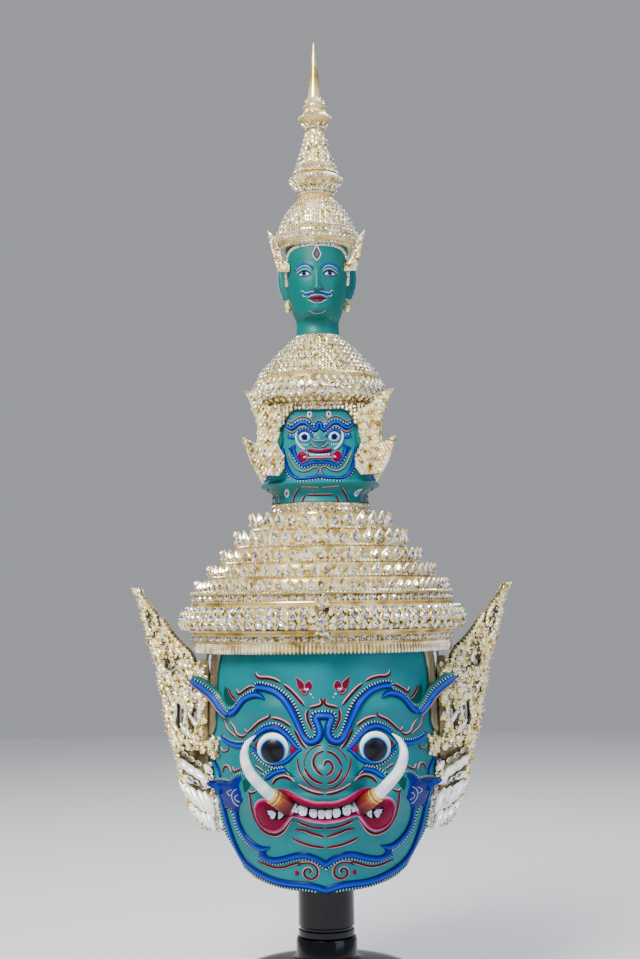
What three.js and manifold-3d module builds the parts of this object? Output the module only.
import * as THREE from 'three';
import { mergeVertices } from 'three/addons/utils/BufferGeometryUtils.js';
import Module from 'manifold-3d';

// A Thai khon demon mask on its turned stand, in millimetres, +Z up. The face looks along -Y.
// The origin is the centre of the stand's underside. The mask's own heights start at its chin.

const wasm = await Module();
wasm.setup();

// Fits between pieces that touch
const GAP = 0.3;

// Stand
const FOOT_RADIUS = 105;
const FOOT_EDGE = 9;
const FOOT_HEIGHT = 44;
const RING_RADIUS = 27.5;
const RING_HEIGHT = 20;
const POST_RADIUS = 25.3;
const POST_HEIGHT = 288;
const TENON_RADIUS = 13;
const TENON_LENGTH = 22;
const CAP_RADIUS = 46;
const CAP_HEIGHT = 18;
const STAND_SIDES = 16;

// Mask shell: its half width and its depth before and behind the axis, at heights above the chin
const WALL = 5;
const BRIM_HEIGHT = 202;
const NAPE_HEIGHT = 46;
const HEAD_WIDTH = [[0, 80], [22, 90], [42, 98], [62, 103], [82, 106], [122, 108], [162, 107], [202, 106]];
const HEAD_FRONT = [[0, 93], [22, 99], [42, 103], [82, 106], [122, 106], [162, 108], [202, 107]];
const HEAD_BACK = [[0, 94], [22, 100], [42, 106], [82, 114], [122, 117], [162, 115], [202, 108]];
const JAW_RIM = [[0, 0], [20, 1], [34, 3.6], [44, 7], [50, 11], [55, 21], [59, 38], [62, 46]];
const FACE_ANGLE = 76;
const FACE_COLUMNS = 24;
const BACK_COLUMNS = 8;
const FACE_ROWS = 18;
const INNER_ROWS = 4;

// Features of the face: across and up, in millimetres
const EYE_ACROSS = 43.5;
const EYE_UP = 122.5;
const EYE_RADIUS = 14;
const EYE_BULGE = 6;
const NOSE_UP = 106;
const MOUTH_UP = 71;
const TUSK_RADIUS = 5.2;
const FERRULE_LENGTH = 19;
const FERRULE_RADIUS = 8;

// Crown, from its brim up
const BAND_BORE = 112.6;
const FRINGE_RADIUS = 117;
const FRINGE_HEIGHT = 9;
const LOWER_GEM_RADIUS = 120;
const LOWER_GEM_HEIGHT = 8;
const ROLL_RADIUS = 132.5;
const ROLL_HEIGHT = 26;
const UPPER_GEM_RADIUS = 121;
const UPPER_GEM_HEIGHT = 10;
const TIER_RADII = [115, 103.5, 91, 78, 64];
const TIER_RISES = [0, 13, 12.5, 14.5, 15.5];
const LEAF_HEIGHTS = [10, 10.5, 12, 15, 15.5];
const LEAF_COUNTS = [26, 24, 21, 18, 15];
const LEAF_THICKNESS = 3;
const LEAF_LEAN = 1.2;
const COLLAR_RADIUS = 45.6;
const COLLAR_RISE = 25;

// The ceiling of the mask lies this far under the top of the crown band
const CEILING_DROP = 21;
const BAND_HEIGHT = FRINGE_HEIGHT + LOWER_GEM_HEIGHT + ROLL_HEIGHT + UPPER_GEM_HEIGHT;
const CEILING_HEIGHT = BRIM_HEIGHT + BAND_HEIGHT - CEILING_DROP;

// Side ornaments of the mask: a flat openwork plate set back from the cheek
const PLATE_THICKNESS = 5;
const PLATE_TURN = 35;
const PLATE_ACROSS = 98;
const PLATE_FORWARD = 45;
const PLATE_CLEARANCE = 0.7;
const FLANGE_FRONT = 57;
const FLANGE_BACK = 72;
const FLANGE_THICKNESS = 2.4;
const FLANGE_FOOT = 104;

// Pointed plaque at the front of the crown's roll
const PLAQUE_WIDTH = 24;
const PLAQUE_HEIGHT = 44;
const PLAQUE_THICKNESS = 3;

// Second head, its crown, and the plates at its four corners
const SECOND_HEAD_HEIGHT = 85.5;
const SECOND_CROWN_HEIGHT = 70;
const SECOND_BRIM_RADIUS = 51;
const SECOND_ROLL_RADIUS = 62.5;
const SECOND_TOP_RADIUS = 21;
const SECOND_LEAF_ROWS = 4;
const SMALL_PLATE_THICKNESS = 3;
const SMALL_PLATE_INNER = [33, -48.5];
const SMALL_PLATE_FOLD = 54;

// Top head, its crown and spire
const TOP_HEAD_HEIGHT = 80.5;
const TOP_NECK_RADIUS = 19.5;
const EAR_ACROSS = 31;
const SPIRE_SIDES = 12;

// A smooth curve through pairs of place and value, flat beyond its ends
function smooth(pairs) {
  const slope = pairs.map((p, i) => {
    const before = pairs[Math.max(i - 1, 0)];
    const after = pairs[Math.min(i + 1, pairs.length - 1)];
    return (after[1] - before[1]) / (after[0] - before[0]);
  });
  return (x) => {
    if (x <= pairs[0][0]) return pairs[0][1];
    const i = pairs.findIndex((p) => p[0] > x) - 1;
    if (i < 0) return pairs.at(-1)[1];
    const [x0, y0] = pairs[i];
    const [x1, y1] = pairs[i + 1];
    const w = x1 - x0;
    const t = (x - x0) / w;
    const s = 1 - t;
    return s * s * ((1 + 2 * t) * y0 + t * w * slope[i]) + t * t * ((1 + 2 * s) * y1 - s * w * slope[i + 1]);
  };
}

// One closed body through a list of rings of equal length, its two ends closed by fans
function loft(rings) {
  const n = rings[0].length;
  const positions = [];
  const middle = (ring) => ring.reduce((sum, p) => sum.add(p), new THREE.Vector3()).divideScalar(n);
  const face = (a, b, c) => positions.push(...a.toArray(), ...b.toArray(), ...c.toArray());
  const first = middle(rings[0]);
  const last = middle(rings.at(-1));
  for (let i = 0; i < n; i++) {
    const j = (i + 1) % n;
    face(first, rings[0][i], rings[0][j]);
    for (let k = 0; k + 1 < rings.length; k++) {
      face(rings[k][i], rings[k + 1][i], rings[k][j]);
      face(rings[k][j], rings[k + 1][i], rings[k + 1][j]);
    }
    face(last, rings.at(-1)[j], rings.at(-1)[i]);
  }
  return facingOut(positions);
}

// Geometry from loose triangles, turned so that its volume is positive
function facingOut(positions) {
  let volume = 0;
  const [a, b, c] = [new THREE.Vector3(), new THREE.Vector3(), new THREE.Vector3()];
  for (let i = 0; i < positions.length; i += 9) {
    a.fromArray(positions, i);
    b.fromArray(positions, i + 3);
    c.fromArray(positions, i + 6);
    volume += a.dot(b.cross(c));
  }
  if (volume < 0) {
    for (let i = 0; i < positions.length; i += 9) {
      for (let k = 0; k < 3; k++) {
        [positions[i + 3 + k], positions[i + 6 + k]] = [positions[i + 6 + k], positions[i + 3 + k]];
      }
    }
  }
  const geometry = new THREE.BufferGeometry();
  geometry.setAttribute('position', new THREE.Float32BufferAttribute(positions, 3));
  return mergeVertices(geometry, 1e-3);
}

// A level ring from a function of the angle, which gives [radius across, radius along, height]
function ring(columns, at) {
  return columns.map((angle) => {
    const [across, along, up] = at(angle);
    return new THREE.Vector3(across * Math.sin(angle), -along * Math.cos(angle), up);
  });
}

const evenly = (n) => Array.from({ length: n }, (_, i) => (i / n) * 2 * Math.PI - Math.PI);

// A turned body from [radius, height] pairs
function turned(profile, sides) {
  return loft(profile.map(([r, h]) => ring(evenly(sides), () => [r, r, h])));
}

// A round bar along a curve, its radius given as pairs of share of the length and radius
function bar(points, radii, steps, sides) {
  const curve = new THREE.CatmullRomCurve3(points.map((p) => new THREE.Vector3(...p)));
  const frames = curve.computeFrenetFrames(steps);
  const radius = smooth(radii);
  const rings = [];
  for (let i = 0; i <= steps; i++) {
    const centre = curve.getPointAt(i / steps);
    rings.push(evenly(sides).map((angle) => centre.clone()
      .addScaledVector(frames.normals[i], radius(i / steps) * Math.cos(angle))
      .addScaledVector(frames.binormals[i], radius(i / steps) * Math.sin(angle))));
  }
  return loft(rings);
}

function solid(geometry) {
  const bare = new THREE.BufferGeometry().setAttribute('position', geometry.getAttribute('position').clone());
  if (geometry.index) bare.setIndex(geometry.index);
  const merged = mergeVertices(bare.index ? bare.toNonIndexed() : bare, 1e-3);
  return new wasm.Manifold(new wasm.Mesh({
    numProp: 3,
    vertProperties: merged.attributes.position.array,
    triVerts: new Uint32Array(merged.index.array),
  }));
}

function geometryOf(manifold) {
  const mesh = manifold.getMesh();
  const geometry = new THREE.BufferGeometry();
  geometry.setAttribute('position', new THREE.BufferAttribute(new Float32Array(mesh.vertProperties), 3));
  geometry.setIndex(new THREE.BufferAttribute(new Uint32Array(mesh.triVerts), 1));
  return geometry;
}

// Materials
const finish = (color, roughness, metalness) => new THREE.MeshStandardMaterial({ color, roughness, metalness });
const GREEN_LACQUER = finish('#1b9a86', 0.45, 0);
const GILDING = finish('#d9b45a', 0.3, 1);
const SHELL_WHITE = finish('#f0eeea', 0.2, 0);
const EYE_WHITE = finish('#f4f6f7', 0.15, 0);
const BLACK_LACQUER = finish('#0d0e12', 0.25, 0);

const stand = new THREE.Group();
const mask = new THREE.Group();
const root = new THREE.Group();
root.add(stand, mask);

function add(group, name, geometry, material) {
  const mesh = new THREE.Mesh(geometry, material);
  mesh.name = name;
  group.add(mesh);
  return mesh;
}

// Turned foot with its ring and a socket for the post
const RING_TOP = FOOT_HEIGHT + RING_HEIGHT;
function standFoot() {
  const reach = FOOT_RADIUS - RING_RADIUS;
  return turned([
    [FOOT_RADIUS, 0],
    [FOOT_RADIUS, FOOT_EDGE],
    [FOOT_RADIUS - reach * 0.1, FOOT_EDGE + 4],
    [FOOT_RADIUS - reach * 0.2, FOOT_HEIGHT * 0.6],
    [FOOT_RADIUS - reach * 0.55, FOOT_HEIGHT * 0.9],
    [RING_RADIUS + 3, FOOT_HEIGHT],
    [RING_RADIUS, FOOT_HEIGHT + 2],
    [RING_RADIUS, RING_TOP],
    [TENON_RADIUS + GAP, RING_TOP],
    [TENON_RADIUS + GAP, RING_TOP - TENON_LENGTH - GAP],
  ], STAND_SIDES);
}

// Post with a tenon below and a rounded cap that carries the mask's ceiling
const POST_FOOT = RING_TOP + GAP;
const POST_TOP = POST_FOOT + POST_HEIGHT;
function standPost() {
  const capFoot = POST_TOP - CAP_HEIGHT;
  return turned([
    [TENON_RADIUS, POST_FOOT - TENON_LENGTH],
    [TENON_RADIUS, POST_FOOT],
    [POST_RADIUS, POST_FOOT],
    [POST_RADIUS, capFoot - 2],
    [CAP_RADIUS, capFoot + 4],
    [CAP_RADIUS, capFoot + CAP_HEIGHT * 0.5],
    [CAP_RADIUS - 7, capFoot + CAP_HEIGHT * 0.88],
    [CAP_RADIUS - 16, POST_TOP],
  ], STAND_SIDES);
}

add(stand, 'stand_foot', standFoot(), BLACK_LACQUER);
add(stand, 'stand_post', standPost(), BLACK_LACQUER);
mask.position.z = POST_TOP + GAP - CEILING_HEIGHT;

// The head without its features: half width, and depth on the side that the angle faces
const widthAt = smooth(HEAD_WIDTH);
const frontAt = smooth(HEAD_FRONT);
const backAt = smooth(HEAD_BACK);
const rimAt = smooth(JAW_RIM);
const degrees = (angle) => Math.abs(angle) * 180 / Math.PI;
const rimHeight = (angle) => (degrees(angle) > 62 ? NAPE_HEIGHT : rimAt(degrees(angle)));

// A soft hill of the given size, for modelling the features
const hill = (x, up, cx, cUp, rx, rUp) => Math.exp(-(((x - cx) / rx) ** 2) - (((up - cUp) / rUp) ** 2));

// How far the face stands out from the plain head
function relief(x, up) {
  const side = Math.abs(x);
  let out = 0;
  out += 23 * hill(side, up, 0, NOSE_UP, 20, 17);
  out += 9 * hill(side, up, 21, NOSE_UP - 7, 9, 8);
  out += 7 * hill(side, up, 0, NOSE_UP + 30, 10, 16);
  out += 5 * hill(side, up, EYE_ACROSS, EYE_UP, 24, 19);
  out += 5 * hill(side, up, 46, EYE_UP + 32, 26, 11);
  out += 8 * hill(side, up, 62, 88, 20, 18);
  out += 13 * hill(side, up, 0, MOUTH_UP + 6, 52, 20);
  out += 4 * hill(side, up, 0, MOUTH_UP + 12, 36, 4.5);
  out += 4 * hill(side, up, 0, MOUTH_UP - 11, 36, 4.5);
  out += 6 * hill(side, up, 47, MOUTH_UP - 3, 10, 11);
  out += 6 * hill(side, up, 0, 42, 40, 13);
  return out;
}

// A point of the mask's outer face at an angle and height, with the given extra thickness
function onHead(angle, up, extra = 0, withRelief = true) {
  const facing = Math.cos(angle) > 0;
  const depth = facing ? frontAt(up) : backAt(up);
  const x = widthAt(up) * Math.sin(angle);
  const out = extra + (withRelief && facing ? relief(x, up) * Math.min(1, Math.cos(angle) * 2.2) : 0);
  const across = x + out * Math.sin(angle);
  return new THREE.Vector3(across, -(depth + out) * Math.cos(angle), up);
}

const faceColumns = [];
for (let i = 0; i <= FACE_COLUMNS; i++) {
  faceColumns.push(THREE.MathUtils.degToRad(FACE_ANGLE * (2 * i / FACE_COLUMNS - 1)));
}
for (let i = 1; i < BACK_COLUMNS; i++) {
  faceColumns.push(THREE.MathUtils.degToRad(FACE_ANGLE + (360 - 2 * FACE_ANGLE) * i / BACK_COLUMNS));
}

// Rings of the head from the dome down to the rim, the given amount outside the outer face
function headRings(rows, extra, withRelief) {
  const centred = (angle) => Math.atan2(Math.sin(angle), Math.cos(angle));
  const top = CEILING_HEIGHT + WALL + extra;
  const rings = [];
  for (const [share, rise] of [[0.5, 1], [0.86, 0.82]]) {
    rings.push(faceColumns.map((angle) => {
      const p = onHead(angle, BRIM_HEIGHT, extra, false);
      return new THREE.Vector3(p.x * share, p.y * share, BRIM_HEIGHT + (top - BRIM_HEIGHT) * rise);
    }));
  }
  for (let k = 0; k <= rows; k++) {
    rings.push(faceColumns.map((angle) => {
      const rim = rimHeight(centred(angle));
      const up = BRIM_HEIGHT + (rim - BRIM_HEIGHT) * (k / rows);
      return onHead(angle, up, extra, withRelief);
    }));
  }
  return rings;
}

// Papier-mache shell: outer face down to the rim, then the plain inner face back up
function shellBody() {
  return solid(loft([...headRings(FACE_ROWS, 0, true), ...headRings(INNER_ROWS, -WALL, false).reverse()]));
}

// A place on the face given as seen from the front, with a height above the surface
function onFace(x, up, above = 0) {
  let angle = 0;
  for (let i = 0; i < 12; i++) {
    const miss = x - onHead(angle, up).x;
    angle = THREE.MathUtils.clamp(angle + miss / 110, -1.2, 1.2);
  }
  return onHead(angle, up, above).toArray();
}

// The same, standing straight out to the front instead of square to the surface
function ahead(x, up, above) {
  const [, y] = onFace(x, up, Math.min(above, 2));
  return [x, y - Math.max(above - 2, 0), up];
}

// Raised ridges of the face, one side of them: each point is across, up and height above the surface
const BROW_HORN = [[48, 166, 1], [62, 164, 2], [73, 157, 2], [82, 148, 3], [91, 154, 7], [103, 166, 16], [115, 180, 27]];
const BROW_ARCH = [[61, 176, 1], [48, 174, 2], [36, 166, 2], [27, 155, 2], [20, 142, 2], [13, 128, 2], [3, 129, 2],
  [6, 147, 2], [-2, 150, 2]];
const JAW_WING = [[50, 37, 1], [57, 35, 2], [66, 41, 2], [76, 50, 2], [83, 60, 2], [86, 70, 3], [91, 82, 6], [102, 88, 14]];
const CHIN_BOW = [[60, 27, 1], [51, 26, 2], [42, 28, 2], [30, 31, 2], [17, 32, 2], [7, 29, 2], [-2, 24, 2]];
const RIDGE_RADIUS = 3.4;
const mirrored = (points, side) => points.map(([x, ...rest]) => [x * side, ...rest]);

function ridge(points, side, tipRadius, steps, extra) {
  const path = mirrored(points, side).map(([x, up, above]) => ahead(x, up, above - 1));
  const radii = [[0, RIDGE_RADIUS + extra], [0.75, RIDGE_RADIUS + 0.6 + extra], [1, tipRadius + extra]];
  return solid(bar(path, radii, steps, 5));
}

function ridges(extra) {
  const bars = [-1, 1].flatMap((side) => [
    ridge(BROW_HORN, side, 1, 7, extra),
    ridge(BROW_ARCH, side, RIDGE_RADIUS, 12, extra),
    ridge(JAW_WING, side, 1, 8, extra),
    ridge(CHIN_BOW, side, RIDGE_RADIUS, 5, extra),
  ]);
  return bars.reduce((joined, one) => joined.add(one));
}

function maskShell() {
  return geometryOf(shellBody().add(ridges(0)).subtract(eyeSeats()));
}

// The same head as one plug, to fit pieces against the shell
const headPlug = solid(loft(headRings(FACE_ROWS, GAP, true))).add(ridges(GAP * 1.5));

// Eyes: domed discs let into the face
const EYE_SIDES = 12;
function eye(side, extra) {
  const r = EYE_RADIUS + extra;
  const profile = [[r, -3 - extra], [r, 1], [r * 0.8, EYE_BULGE * 0.6], [r * 0.4, EYE_BULGE * 0.93]];
  const place = onFace(side * EYE_ACROSS, EYE_UP);
  return turned(profile, EYE_SIDES).rotateX(Math.PI / 2).rotateZ(side * 0.3).translate(...place);
}

function eyeSeats() {
  return solid(eye(-1, GAP)).add(solid(eye(1, GAP)));
}

// Tusks of polished shell, each held in a gilded ferrule at the corner of the mouth
const TUSK_PATH = [[45, 82, 121], [52, 92, 127], [63, 105, 132], [68, 119, 131], [65, 129, 127], [58, 135, 122]];
const toPoints = (path, side) => path.map(([x, up, out]) => [x * side, -out, up]);

function tusk(side) {
  return bar(toPoints(TUSK_PATH, side), [[0, TUSK_RADIUS], [0.6, TUSK_RADIUS * 0.86], [1, 0.8]], 10, 8);
}

function ferrule(side) {
  const [start, next] = toPoints(TUSK_PATH, side).map((p) => new THREE.Vector3(...p));
  const along = next.clone().sub(start).normalize();
  const end = start.clone().addScaledVector(along, -GAP);
  const base = end.clone().addScaledVector(along, -FERRULE_LENGTH);
  const path = [base, base.clone().lerp(end, 0.5), end].map((p) => p.toArray());
  const sleeve = solid(bar(path, [[0, FERRULE_RADIUS], [1, FERRULE_RADIUS * 0.94]], 2, 10));
  return geometryOf(sleeve.subtract(headPlug));
}

// Teeth: a bowed strip set between the lips
function teeth() {
  const rings = [];
  const half = 29;
  const steps = 8;
  for (let i = 0; i <= steps; i++) {
    const x = half * (2 * i / steps - 1);
    const sag = 7 * (x / half) ** 2;
    const corners = [[-4.8, -3], [-4.8, 1.6], [4.8, 1.6], [4.8, -3]];
    rings.push(corners.map(([up, above]) => new THREE.Vector3(...onFace(x, MOUTH_UP + sag + up, above))));
  }
  return geometryOf(solid(loft(rings)).subtract(headPlug));
}

add(mask, 'mask_shell', maskShell(), GREEN_LACQUER);
for (const [side, word] of [[-1, 'left'], [1, 'right']]) {
  add(mask, `eye_${word}`, eye(side, 0), EYE_WHITE);
  add(mask, `tusk_${word}`, tusk(side), SHELL_WHITE);
  add(mask, `tusk_ferrule_${word}`, ferrule(side), GILDING);
}
add(mask, 'teeth', teeth(), SHELL_WHITE);

// Heights of the band of fringe, gem rows and jewelled roll round the brow
const FRINGE_TOP = BRIM_HEIGHT + FRINGE_HEIGHT;
const ROLL_FOOT = FRINGE_TOP + LOWER_GEM_HEIGHT;
const ROLL_TOP = ROLL_FOOT + ROLL_HEIGHT;
const BAND_TOP = ROLL_TOP + UPPER_GEM_HEIGHT;
const BAND_SIDES = 28;
const BAND_REACH = Math.max(ROLL_RADIUS, UPPER_GEM_RADIUS, LOWER_GEM_RADIUS);

// A ring turned from a closed profile, which doesn't meet the axis
function turnedRing(profile, sides) {
  const points = [...profile, profile[0]].map(([r, h]) => new THREE.Vector2(r, h));
  const lathe = new THREE.LatheGeometry(points, sides);
  lathe.rotateX(Math.PI / 2);
  const flat = lathe.toNonIndexed();
  return facingOut([...flat.getAttribute('position').array]);
}

// Heights at which the rows of leaves stand
const TIER_FEET = TIER_RISES.reduce((feet, rise) => [...feet, (feet.at(-1) ?? BAND_TOP) + rise], []);
const COLLAR_TOP = TIER_FEET.at(-1) + COLLAR_RISE;

// Stepped cone inside the rows of leaves, ending in the collar under the second head
function crownTiers() {
  const profile = [[BAND_BORE - GAP - 1, CEILING_HEIGHT + WALL + GAP], [BAND_BORE - GAP - 1, BAND_TOP + 1]];
  for (let k = 1; k < TIER_RADII.length; k++) {
    profile.push([TIER_RADII[k] + 1, TIER_FEET[k]]);
    profile.push([TIER_RADII[k] - LEAF_THICKNESS - 1.5, TIER_FEET[k]]);
  }
  profile.push([COLLAR_RADIUS + 1, COLLAR_TOP - 12]);
  profile.push([COLLAR_RADIUS, COLLAR_TOP]);
  return turned(profile, BAND_SIDES - 8);
}

// A row of pressed leaves: a ring whose top edge rises to a point at each leaf
function leafRow(k) {
  const n = LEAF_COUNTS[k] * 2;
  const foot = TIER_FEET[k] + GAP;
  const outer = TIER_RADII[k];
  const inner = outer - LEAF_THICKNESS;
  const tip = foot + LEAF_HEIGHTS[k];
  const valley = foot + LEAF_HEIGHTS[k] * 0.42;
  const columns = evenly(n);
  const rings = [
    columns.map((a) => [inner, foot, a]),
    columns.map((a) => [outer, foot, a]),
    columns.map((a, i) => [i % 2 ? outer - 1 : outer + LEAF_LEAN, i % 2 ? valley : tip, a]),
  ].map((r) => r.map(([radius, up, a]) => new THREE.Vector3(radius * Math.sin(a), -radius * Math.cos(a), up)));
  return ringLoft(rings);
}

// A hoop whose section is the given rings in turn, with no ends
function ringLoft(rings) {
  const positions = [];
  const n = rings[0].length;
  rings.forEach((here, k) => {
    const next = rings[(k + 1) % rings.length];
    for (let i = 0; i < n; i++) {
      const j = (i + 1) % n;
      for (const p of [here[i], next[i], here[j], here[j], next[i], next[j]]) positions.push(...p.toArray());
    }
  });
  return facingOut(positions);
}

add(mask, 'crown_band', crownBand(), GILDING);
add(mask, 'crown_plaque', plaque(), GILDING);
add(mask, 'crown_tiers', crownTiers(), GILDING);
TIER_RADII.forEach((_, k) => add(mask, `crown_leaf_row_${k + 1}`, leafRow(k), GILDING));

function crownBand() {
  const middle = (ROLL_FOOT + ROLL_TOP) / 2;
  return turnedRing([
    [BAND_BORE, BRIM_HEIGHT],
    [FRINGE_RADIUS, BRIM_HEIGHT],
    [FRINGE_RADIUS, FRINGE_TOP],
    [LOWER_GEM_RADIUS, FRINGE_TOP],
    [LOWER_GEM_RADIUS, ROLL_FOOT],
    [ROLL_RADIUS - 2.5, middle - ROLL_HEIGHT * 0.2],
    [ROLL_RADIUS - 2.5, middle + ROLL_HEIGHT * 0.2],
    [UPPER_GEM_RADIUS, ROLL_TOP],
    [UPPER_GEM_RADIUS, BAND_TOP],
    [BAND_BORE, BAND_TOP],
  ], BAND_SIDES);
}

function plaque() {
  const shape = new THREE.Shape([
    new THREE.Vector2(0, -PLAQUE_HEIGHT / 2),
    new THREE.Vector2(PLAQUE_WIDTH / 2, -PLAQUE_HEIGHT * 0.1),
    new THREE.Vector2(PLAQUE_WIDTH * 0.3, PLAQUE_HEIGHT * 0.2),
    new THREE.Vector2(0, PLAQUE_HEIGHT / 2),
    new THREE.Vector2(-PLAQUE_WIDTH * 0.3, PLAQUE_HEIGHT * 0.2),
    new THREE.Vector2(-PLAQUE_WIDTH / 2, -PLAQUE_HEIGHT * 0.1),
  ]);
  const plate = new THREE.ExtrudeGeometry(shape, { depth: PLAQUE_THICKNESS, bevelEnabled: false });
  return plate.rotateX(Math.PI / 2).translate(0, -BAND_REACH - GAP, (ROLL_FOOT + ROLL_TOP) / 2);
}

// Outline of a side ornament: distance out along the plate and height above the chin. Its inner edge
// follows the head.
const PLATE_OUTER = [
  [4, 51], [18, 56], [28, 69], [35, 84], [39, 98], [43, 114], [49, 127], [54, 143], [56, 157],
  [60, 171], [63, 180], [62, 188], [67, 198], [73, 212], [78, 225], [82, 240], [89, 261],
  [80, 254], [72, 246], [63, 236], [60, 224], [56, 233], [50, 226], [44, 219],
  [36, 212], [26, 205], [21, 199], [15, 187], [12, 197],
];
const PLATE_INNER_EDGE = [[3, 197], [0, 180], [0, 155], [0, 130], [-4, 105], [-8, 82], [-10, 62], [-8, 47]];
const PLATE_HOLES = [
  { across: 20, up: 143, rx: 3.2, rUp: 10 },
  { across: 37, up: 146, rx: 2.5, rUp: 13 },
  { across: 49, up: 190, rx: 4, rUp: 3 },
];

// How far out a plate has to start so as to stay clear of the head
function plateStart(up) {
  const turn = THREE.MathUtils.degToRad(PLATE_TURN);
  const inside = (s) => [-1, 1].some((face) => {
    const x = PLATE_ACROSS + s * Math.cos(turn) + face * PLATE_THICKNESS / 2 * Math.sin(turn);
    const y = -PLATE_FORWARD + s * Math.sin(turn) - face * PLATE_THICKNESS / 2 * Math.cos(turn);
    const e = PLATE_CLEARANCE + relief(x, up) * Math.min(1, Math.max(0, -y) / frontAt(up) * 2.2);
    return (x / (widthAt(up) + e)) ** 2 + (y / ((y < 0 ? frontAt(up) : backAt(up)) + e)) ** 2 < 1;
  });
  let s = -12;
  while (inside(s)) s += 0.25;
  return s;
}

// Flange that carries the plate: a strip bent round the temple in front of it
function flange() {
  const rings = [FLANGE_FOOT, 128, 152, 176, BRIM_HEIGHT - 1].map((up) => {
    const from = THREE.MathUtils.degToRad(FLANGE_FRONT);
    const to = THREE.MathUtils.degToRad(FLANGE_BACK);
    const near = PLATE_CLEARANCE;
    const far = PLATE_CLEARANCE + FLANGE_THICKNESS;
    return [
      onHead(from, up, near), onHead((from + to) / 2, up, near), onHead(to, up, near),
      onHead(to, up, far), onHead((from + to) / 2, up, far), onHead(from, up, far),
    ];
  });
  return solid(loft(rings));
}

function sideOrnament(side) {
  const inner = PLATE_INNER_EDGE.map(([s, up]) => [Math.max(s, plateStart(up)), up]);
  const shape = new THREE.Shape([...PLATE_OUTER, ...inner].map((p) => new THREE.Vector2(...p)));
  for (const hole of PLATE_HOLES) {
    const path = new THREE.Path();
    path.absellipse(hole.across, hole.up, hole.rx, hole.rUp, 0, 2 * Math.PI, true);
    shape.holes.push(path);
  }
  const plate = new THREE.ExtrudeGeometry(shape, { depth: PLATE_THICKNESS, bevelEnabled: false, curveSegments: 3 });
  plate.translate(0, 0, -PLATE_THICKNESS / 2).rotateX(Math.PI / 2);
  plate.rotateZ(THREE.MathUtils.degToRad(PLATE_TURN)).translate(PLATE_ACROSS, -PLATE_FORWARD, 0);
  let body = solid(plate).add(flange()).subtract(ridges(GAP * 1.5));
  if (side < 0) body = body.mirror([1, 0, 0]);
  return geometryOf(body);
}

add(mask, 'side_ornament_left', sideOrnament(-1), GILDING);
add(mask, 'side_ornament_right', sideOrnament(1), GILDING);

// Second head: four faces on one neck, each with nose, brow and mouth
const SECOND_FOOT = COLLAR_TOP + GAP;
const SECOND_TOP = SECOND_FOOT + SECOND_HEAD_HEIGHT;
const SECOND_HALF = [[0, 45], [7, 43.5], [12, 47], [16, 54.5], [20, 50], [42, 50], [64, 50], [85, 48.5]];
const SECOND_SQUARENESS = [[0, 2], [10, 2.2], [20, 2.5], [40, 3.2], [85, 3.4]];
function secondHead() {
  const half = smooth(SECOND_HALF);
  const square = smooth(SECOND_SQUARENESS);
  const quarter = Math.PI / 2;
  const radiusAt = (angle, up) => {
    const n = square(up);
    const plain = half(up) / (Math.abs(Math.cos(angle)) ** n + Math.abs(Math.sin(angle)) ** n) ** (1 / n);
    const turn = angle - quarter * Math.round(angle / quarter);
    const x = plain * Math.sin(turn);
    return plain + 5 * hill(x, up, 0, 54, 5, 6) + 3 * hill(x, up, 0, 40, 17, 6)
      + 2.5 * hill(Math.abs(x), up, 13, 68, 9, 4) + 1.6 * hill(Math.abs(x), up, 12.5, 58, 6, 5);
  };
  const heights = [0, 7, 12, 16, 20, 33, 41, 48, 54, 61, 68, SECOND_HEAD_HEIGHT];
  return loft(heights.map((up) => ring(evenly(24), (angle) => {
    const r = radiusAt(angle, up);
    return [r, r, SECOND_FOOT + up];
  })));
}

// Second crown: a jewelled roll, then rows of small leaves closing to the top neck
const SECOND_CROWN_FOOT = SECOND_TOP + GAP;
const SECOND_CROWN_TOP = SECOND_CROWN_FOOT + SECOND_CROWN_HEIGHT;
const SECOND_LEAVES = 10;
function secondCrown() {
  const sides = SECOND_LEAVES * 2;
  const level = (r, up) => ring(evenly(sides), () => [r, r, SECOND_CROWN_FOOT + up]);
  const rings = [
    level(SECOND_BRIM_RADIUS, 0), level(SECOND_BRIM_RADIUS + 3, 3), level(SECOND_ROLL_RADIUS - 4, 7),
    level(SECOND_ROLL_RADIUS, 15), level(SECOND_ROLL_RADIUS - 2, 23), level(SECOND_ROLL_RADIUS - 6, 28),
    level(SECOND_ROLL_RADIUS - 5, 31), level(SECOND_ROLL_RADIUS - 11, 33),
  ];
  const rise = (SECOND_CROWN_HEIGHT - 34) / SECOND_LEAF_ROWS;
  const start = SECOND_ROLL_RADIUS - 11;
  for (let k = 0; k < SECOND_LEAF_ROWS; k++) {
    const r = start + (SECOND_TOP_RADIUS + 1 - start) * (k + 1) / SECOND_LEAF_ROWS;
    const outer = start + (SECOND_TOP_RADIUS + 1 - start) * (k + 0.5) / SECOND_LEAF_ROWS;
    const foot = 33 + rise * k;
    const columns = evenly(sides);
    rings.push(columns.map((a, i) => {
      const up = SECOND_CROWN_FOOT + foot + ((i + k) % 2 ? rise * 0.45 : rise * 1.05);
      const out = (i + k) % 2 ? outer - 1.5 : outer + 0.5;
      return new THREE.Vector3(out * Math.sin(a), -out * Math.cos(a), up);
    }));
    rings.push(level(r, foot + rise * 0.55));
  }
  rings.push(level(SECOND_TOP_RADIUS, SECOND_CROWN_HEIGHT));
  return loft(rings);
}

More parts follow.
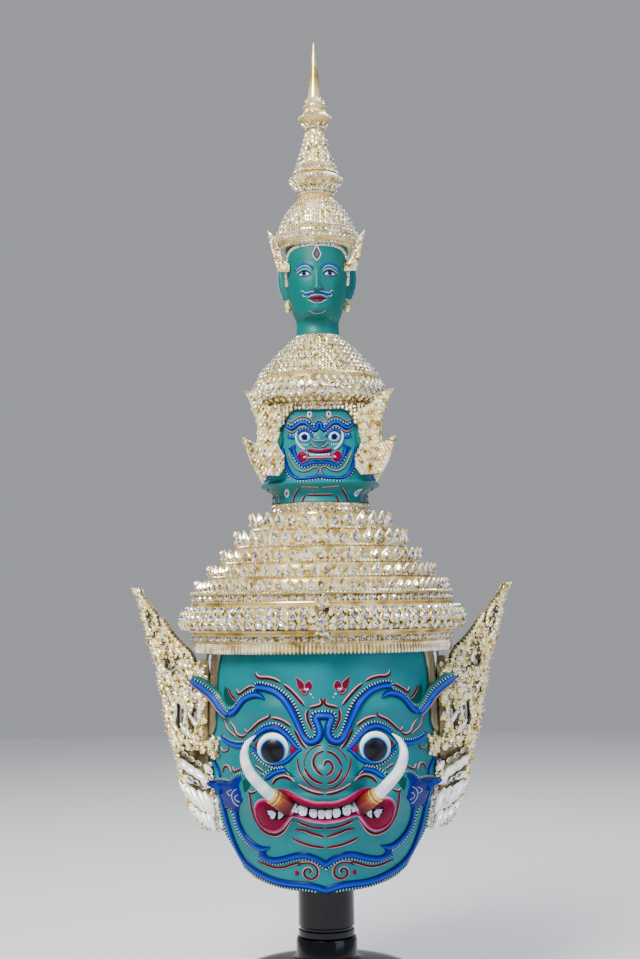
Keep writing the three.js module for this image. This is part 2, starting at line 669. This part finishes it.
// Small side ornaments: at each corner of the second head two leaves meet in a fold, and the fold
// carries a fin with two flame tips. Points of a leaf are distance from its inner edge and height.
const SMALL_LEAF = [
  [0, 79], [5, 52], [0, 42], [-1, 30], [4, 23], [21, 24], [21, 91], [14, 86],
];
const SMALL_FIN = [
  [73, 22], [79, 26], [86, 35], [95, 56], [75, 49], [75, 60], [79, 76],
  [87, 90], [93, 98], [84, 97], [73, 90],
];
function flatPlate(points, thickness) {
  const shape = new THREE.Shape(points.map((p) => new THREE.Vector2(...p)));
  const plate = new THREE.ExtrudeGeometry(shape, { depth: thickness, bevelEnabled: false });
  return plate.translate(0, 0, -thickness / 2).rotateX(Math.PI / 2);
}

function smallOrnament(corner) {
  const [across, along] = SMALL_PLATE_INNER;
  const lean = Math.atan2(SMALL_PLATE_FOLD + along, SMALL_PLATE_FOLD - across);
  const leaf = solid(flatPlate(SMALL_LEAF, SMALL_PLATE_THICKNESS).rotateZ(-lean).translate(across, along, SECOND_FOOT));
  const fin = solid(flatPlate(SMALL_FIN, SMALL_PLATE_THICKNESS).rotateZ(-Math.PI / 4).translate(0, 0, SECOND_FOOT));
  return leaf.add(leaf.mirror([1, 1, 0])).add(fin).rotate([0, 0, 90 * corner]);
}

add(mask, 'second_head', secondHead(), GREEN_LACQUER);
add(mask, 'second_crown', secondCrown(), GILDING);
for (let corner = 0; corner < 4; corner++) {
  add(mask, `small_ornament_${corner + 1}`, geometryOf(smallOrnament(corner)), GILDING);
}

// The biggest of the separate bodies that a cut leaves
function largest(body) {
  return body.decompose().sort((a, b) => b.volume() - a.volume())[0];
}

// Top head: neck, face, ears
const TOP_FOOT = SECOND_CROWN_TOP + GAP;
const TOP_BRIM = TOP_FOOT + TOP_HEAD_HEIGHT;
const TOP_ROWS = [
  [0, 20, 19, 19], [11, TOP_NECK_RADIUS, 18.5, 19], [15, 20.5, 26, 21], [20, 22.5, 30, 24], [30, 25.5, 32, 29],
  [42, 28, 33, 33], [58, 29.5, 33, 35], [TOP_HEAD_HEIGHT, 29, 31, 32],
];
function topHead() {
  const rings = TOP_ROWS.map(([up, wide, front, back]) => ring(evenly(18), (angle) => {
    const x = wide * Math.sin(angle);
    const facing = Math.cos(angle) > 0;
    const nose = facing ? 4.5 * hill(x, up, 0, 42, 4.5, 8) : 0;
    return [wide, (facing ? front : back) + nose, TOP_FOOT + up];
  }));
  let head = solid(loft(rings));
  for (const side of [-1, 1]) {
    const ear = new THREE.SphereGeometry(1, 7, 5).scale(4.5, 7, 15).rotateY(side * 0.16);
    head = head.add(solid(ear.translate(side * EAR_ACROSS, 3, TOP_FOOT + 50)));
  }
  return geometryOf(head);
}

// Top crown and spire, turned in one, from the brim up
const SPIRE_PROFILE = [
  [32, 0], [37.5, 8], [38.5, 13], [35, 18], [31, 30], [26, 37], [18.5, 45], [15.4, 50],
  [17.8, 58], [24.7, 66], [18, 75], [19, 80], [13, 92], [9, 108], [7.5, 114],
  [15, 125], [9.5, 132], [10.5, 138], [6.5, 144], [3.4, 170], [0.8, 199],
];
function topCrown() {
  return turned(SPIRE_PROFILE.map(([r, up]) => [r, TOP_BRIM + GAP + up]), SPIRE_SIDES);
}

// Flame plates beside the top head's crown, and its ear drops
const TOP_PLATE = [[-9, 57], [2, 58], [5, 70], [8, 82], [11, 97], [5, 90], [1, 80], [-3, 68], [-9, 64]];
function topOrnament(side) {
  const shape = new THREE.Shape(TOP_PLATE.map((p) => new THREE.Vector2(...p)));
  const plate = new THREE.ExtrudeGeometry(shape, { depth: 2.4, bevelEnabled: false });
  plate.rotateX(Math.PI / 2).rotateZ(0.2).translate(34, -16, TOP_FOOT);
  let body = solid(plate);
  if (side < 0) body = body.mirror([1, 0, 0]);
  return body;
}

function earDrop(side) {
  const drop = turned([[1, 0], [3.2, 3], [3.2, 9], [1.2, 12]], 6);
  return drop.translate(side * (EAR_ACROSS - 3.5), 1, TOP_FOOT + 22);
}

add(mask, 'top_head', topHead(), GREEN_LACQUER);
add(mask, 'top_crown_and_spire', topCrown(), GILDING);
const topPlug = solid(mask.getObjectByName('top_head').geometry).add(solid(topCrown()));
for (const [side, word] of [[-1, 'left'], [1, 'right']]) {
  const plate = topOrnament(side).subtract(topPlug.scale([1.01, 1.01, 1]));
  add(mask, `top_ornament_${word}`, geometryOf(largest(plate)), GILDING);
  add(mask, `ear_drop_${word}`, geometryOf(largest(solid(earDrop(side)).subtract(topPlug))), GILDING);
}

export default root;
